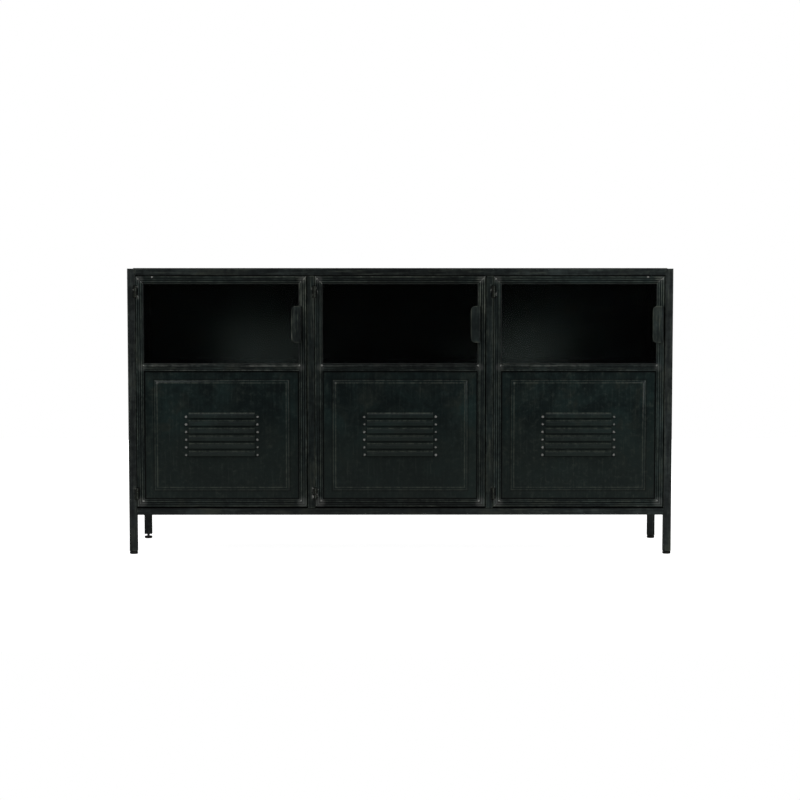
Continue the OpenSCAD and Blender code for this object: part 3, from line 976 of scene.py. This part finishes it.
def handle(side):
    """A bent tab: the web stands on the stile and the plate turns over the frame."""
    low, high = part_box("handle_" + side)
    thick, bend = 0.002, 0.004
    right, out, root = high[0], low[1], FRONT + 0.0002

    def turn(radius, degrees):
        a = math.radians(degrees)
        return right - bend + radius * math.cos(a), out + bend - radius * math.sin(a)

    plan = [(low[0], out), (right - bend, out)]
    plan += [turn(bend, degrees) for degrees in (75, 60, 45, 30, 15)]
    plan += [(right, out + bend), (right, root), (right - thick, root), (right - thick, out + bend)]
    plan += [turn(bend - thick, degrees) for degrees in (22, 45, 68)]
    plan += [(right - bend, out + thick), (low[0], out + thick)]
    tab = section("handle_tab_" + side, [(x, y, low[2]) for x, y in plan],
                  (0, 0, high[2] - low[2]))
    edit(tab)
    pick_edges(tab, lambda a, b: same(a, low, [0]) and same(b, low, [0]) and same(a, b, [2]))
    bpy.ops.mesh.bevel(offset=0.011, segments=8, affect="EDGES")
    close_up()
    soften(tab, 0.0005, 3)
    # how light each handle is painted; with the painted side light the right one is the lightest and
    # the centre one a little darker than the left
    tone = 2.0 if side == "centre" else 1.45
    finish = painted("handle_finish_" + side, low, high, 2, tone, 1.1)
    fit_out(tab, finish, "door_" + side, "door_frame_paint", "handle_" + side)
    short = 0.004
    bead = [(-0.0035, -0.0002), (0.0003, -0.0002), (0.0001, -0.0012), (-0.0022, -0.0014)]
    weld = section("handle_weld_" + side, [(right + x, FRONT + y, low[2] + short) for x, y in bead],
                   (0, 0, high[2] - low[2] - 2 * short))
    soften(weld, 0.0004)
    fit_out(weld, finish, "door_" + side, "door_frame_paint")


def hinges(side):
    """Both hinges of a door: pin and lower knuckle on the carcass, upper knuckle on the door."""
    x, y = hinge_place(side)[:2]
    finish = hinge_steel(side, x)
    sunk = 0.001
    bore_l = 0.0145
    headroom = 0.0008
    seam = 0.0003
    lower, upper = [], []
    for z in HINGE_Z:
        knuckle = rod("knuckle", (x, y, z - KNUCKLE_L), KNUCKLE_R, KNUCKLE_L - seam)
        soften(knuckle, 0.0006, 3)
        pin = rod("pin", (x, y, z - sunk), PIN_R, bore_l - headroom)
        soften(pin, 0.0004)
        lower += [knuckle, pin]
        cap = rod("cap", (x, y, z), KNUCKLE_R, KNUCKLE_L)
        carve(cap, rod("bore", (x, y, z - sunk), PIN_R + 0.00005, bore_l))
        soften(cap, 0.0005, 3)
        upper.append(cap)
    fit_out(join("hinge_pin_pair_" + side, lower), finish, "carcass", "hinge_steel",
            "hinge_pins_" + side)
    fit_out(join("hinge_barrel_pair_" + side, upper), finish, "door_" + side, "hinge_steel",
            "hinge_barrels_" + side)


def hinge_steel(side, pin_x):
    """Dark steel of a hinge, with a bright line down one side of each knuckle: wear and a painted
    highlight.
    """
    f = Finish("hinge_metal_" + side)
    x, _, z = f.parts(f.here)
    fine = f.noise(260, 4, 0.6)
    # a bright line down one side of each knuckle: wear and a painted highlight
    gleam_and_wear = abs(x - pin_x - 0.0012).ease(0.0012, 0.0003) * fine.ease(0.40, 0.60)
    rise = (z - HINGE_Z[0]) * z.ease(0.5, 0.3) + (z - HINGE_Z[1]) * z.ease(0.3, 0.5)
    seam = abs(rise).ease(0.0014, 0.0004)
    base = f.blend(fine.ease(0.40, 0.62), (0.008, 0.010, 0.008), (0.020, 0.022, 0.016))
    base = f.blend(gleam_and_wear * 0.8, base, (0.14, 0.16, 0.14))
    base = f.blend(seam, base, (0.002, 0.002, 0.002))
    return f.set(colour=base, rough=fine * 0.3 + 0.3, metal=gleam_and_wear * 0.6 + 0.2,
                 normal=f.bump(fine, 0.2, 0.0003), specular=0.2)


def turned(name, profile, centre, steps=40):
    """A turned piece: its half profile in (radius, height) is spun round an upright axis."""
    start()
    bpy.ops.mesh.primitive_circle_add(vertices=len(profile), fill_type="NOTHING")
    piece = named(name)
    for vertex, (radius, height) in zip(piece.data.vertices, profile):
        vertex.co = Vector((centre[0] + radius, centre[1], centre[2] + height))
    edit(piece)
    pick_edges(piece, lambda a, b: same(a, centre, [0]) and same(b, centre, [0]))
    bpy.ops.mesh.delete(type="EDGE")
    bpy.ops.mesh.select_all(action="SELECT")
    bpy.ops.mesh.spin(steps=steps, angle=2 * math.pi, center=centre, axis=(0, 0, 1))
    close_up()
    smooth(piece)
    return piece


# Half profiles in mm, as (radius, height): a foot's pad, then its stem, whose thread is a row of
# rings, and a rivet's head
FOOT_PAD = [(0, 0), (8.8, 0), (10.0, 0.35), (11.0, 1.3), (11.5, 2.6), (11.5, 5.6), (11.2, 6.4),
            (10.3, 6.9), (6.3, 7.2), (5.0, 7.3), (4.0, 7.5)]
STEM_END = [(3.6, 45.0), (2.8, 46.0), (0, 46.0)]
THREAD_START = 8.0
THREAD_PITCH = 2.0
THREAD_TURNS = 18
RIVET_HEAD = [(0, 0), (3.5, 0), (3.45, 0.3), (3.0, 0.62), (2.2, 0.85), (1.1, 0.97), (0, 1.0)]


def feet(finish):
    """Four levelling feet."""
    profile = list(FOOT_PAD)
    for k in range(THREAD_TURNS):
        height = THREAD_START + k * THREAD_PITCH
        profile += [(3.55, height), (4.0, height + THREAD_PITCH / 2)]
    profile += STEM_END
    for corner in CORNERS:
        low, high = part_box("foot_" + corner)
        centre = ((low[0] + high[0]) / 2, (low[1] + high[1]) / 2, 0)
        foot = turned("levelling_foot_" + corner, [(r * MM, h * MM) for r, h in profile], centre)
        fit_out(foot, finish, "levelling_foot_" + corner, "zinc_steel", "foot_" + corner)


def rivets(finish):
    """Low domed heads round the back sheet, seven across and two more down each side."""
    low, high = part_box("back_rivets")
    master = turned("rivet", [(r * MM, h * MM) for r, h in RIVET_HEAD], (0, 0, 0), 20)
    edit(master, "SELECT")
    bpy.ops.transform.rotate(value=math.pi / 2, orient_axis="X", center_override=(0, 0, 0))
    close_up()
    radius = RIVET_HEAD[1][0] * MM
    left, right = low[0] + radius, high[0] - radius
    bottom, top = low[2] + radius, high[2] - radius
    places = [(left + k * (right - left) / 6, z) for k in range(7) for z in (bottom, top)]
    places += [(x, bottom + m * (top - bottom) / 3) for x in (left, right) for m in (1, 2)]
    heads = [copy(master, "head", (x, low[1], z)) for x, z in places]
    bpy.data.objects.remove(master)
    fit_out(join("rivet_heads", heads), finish, "carcass", "zinc_steel", "back_rivets")


def fittings():
    """Feet, rivets, hinges, handles and panes, and finishes for the parts kept as they are."""
    zinc = bright_metal("zinc_plate", (0.34, 0.34, 0.33), 0.30)
    glass, black = clear_glass(), black_plastic()
    feet(foot_finish())
    rivets(zinc)
    for side in SIDES:
        hinges(side)
        handle(side)
        low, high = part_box("glass_" + side)
        pane = block("pane_" + side, low, high)
        soften(pane, 0.0004)
        fit_out(pane, glass, "door_" + side, "clear_glass", "glass_" + side)
        seal(side, black)
    kept = {"leg_plugs": zinc, "magnet_catches": black}
    for side in SIDES:
        kept["strike_plate_" + side] = zinc
    sheets = ["floor_sheet", "back_sheet", "side_sheet_left", "side_sheet_right", "divider_left",
              "divider_right", "shelf_left", "shelf_centre", "shelf_right", "shelf_ledges"]
    sheets += ["glazing_beads_" + side for side in SIDES]
    for node in sheets:
        low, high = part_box(node)
        kept[node] = painted(node + "_finish", low, high, 0, 1.3, 0.6, streaky=0.4, cast=0.8)
    for node, finish in kept.items():
        solid = frame["nodes"][node]
        solid.data.materials.clear()
        solid.data.materials.append(finish)


# ---------------------------------------------------------------- stage

def studio():
    """The room: plain light, plain floor and the camera."""
    bpy.context.scene.view_settings.view_transform = "Standard"
    surroundings()
    lights()
    floor()
    camera()


def surroundings():
    """A world that is white to the camera, a little dimmer as light and dark in reflections."""
    world = bpy.data.worlds.new("studio")
    bpy.context.scene.world = world
    world.use_nodes = True
    nodes, links = world.node_tree.nodes, world.node_tree.links
    nodes.clear()
    path = nodes.new("ShaderNodeLightPath")
    out = nodes.new("ShaderNodeOutputWorld")
    seen = backdrop(nodes, 0.006)
    for ray, strength in (("Is Diffuse Ray", 0.80), ("Is Camera Ray", 1.0)):
        mix = nodes.new("ShaderNodeMixShader")
        links.new(path.outputs[ray], mix.inputs[0])
        links.new(seen.outputs[0], mix.inputs[1])
        links.new(backdrop(nodes, strength).outputs[0], mix.inputs[2])
        seen = mix
    links.new(seen.outputs[0], out.inputs["Surface"])


def lights():
    """A broad overhead light, three soft boxes, and low cards that glow in the panes."""
    sky = bpy.data.lights.new("overhead", "SUN")
    sky.energy = 0.9
    sky.angle = math.radians(70)
    mount = bpy.data.objects.new("overhead", sky)
    bpy.context.scene.collection.objects.link(mount)
    lamp("key", (-2.4, -3.6, 2.6), (0, -0.1, 0.4), (1.6, 1.6), 36)
    lamp("fill", (3.0, -4.4, 1.5), (0.3, -0.1, 0.4), (1.4, 1.4), 30)
    lamp("back", (1.5, 3.6, 2.4), (0, 0.2, 0.4), (2.4, 1.6), 30)
    # cards are (distance from the middle, height, size, share of the power)
    cards = [(0.70, 0.32, (0.30, 0.16), 0.048), (0.73, 0.38, (0.44, 0.26), 0.054)]
    for side, way, power in (("left", -1, 1.0), ("right", 1, 1.1)):
        for k, (x, z, size, share) in enumerate(cards):
            card = lamp(f"card_{side}_{k}", (way * x, -6.4, z), (way * x, 0, z), size,
                        power * share)
            card.data.color = (0.82, 1.0, 0.93)


def floor():
    """A pale floor that the camera sees nearly white, but that lights the object only softly."""
    start()
    bpy.ops.mesh.primitive_plane_add(size=1)
    ground = named("studio_floor")
    ground.scale = (8, 6, 1)
    ground.location = (0, 1.2, 0)
    bpy.ops.object.transform_apply(location=True, rotation=True, scale=True)
    f = Finish("floor_finish")
    f.set(colour=(0.55, 0.55, 0.55), rough=0.8, specular=0.1, glow=(1, 1, 1), glow_level=0.90)
    matt = f.node("BsdfDiffuse", {}, {"Color": (0.30, 0.30, 0.30, 1)})
    by_eye = f.node("LightPath", {}, {}, "Is Camera Ray")
    pale = Value(f, f.shader.outputs[0])
    f.feed(f.tree.nodes["Material Output"].inputs["Surface"],
           f.node("MixShader", {}, {0: by_eye, 1: matt, 2: pale}))
    ground.data.materials.append(f.material)


def camera():
    """A long lens in front of the middle, a little above it and aimed slightly down."""
    eye = bpy.data.objects.new("camera", bpy.data.cameras.new("camera"))
    bpy.context.scene.collection.objects.link(eye)
    eye.data.sensor_width = 36
    eye.data.lens = 100.23
    eye.data.shift_x = 0.003
    eye.data.shift_y = 0.0702
    eye.location = (-0.0315, -6.3228, 0.7625)
    eye.rotation_euler = (math.radians(90 - 4.571), 0, math.radians(-0.224))
    bpy.context.scene.camera = eye


def backdrop(nodes, strength):
    """A white background of one strength."""
    white = nodes.new("ShaderNodeBackground")
    white.inputs["Color"].default_value = (1, 1, 1, 1)
    white.inputs["Strength"].default_value = strength
    return white


def lamp(name, place, aim, size, power):
    """A plain soft box that points at a place."""
    light = bpy.data.lights.new(name, "AREA")
    light.shape = "RECTANGLE"
    light.size, light.size_y = size
    light.energy = power
    stand = bpy.data.objects.new(name, light)
    bpy.context.scene.collection.objects.link(stand)
    stand.location = place
    ahead = Vector(aim) - Vector(place)
    stand.rotation_euler = ahead.to_track_quat("-Z", "Y").to_euler()
    return stand


studio()
carcass()
for door in SIDES:
    door_frame(door)

hung_panels()
fittings()
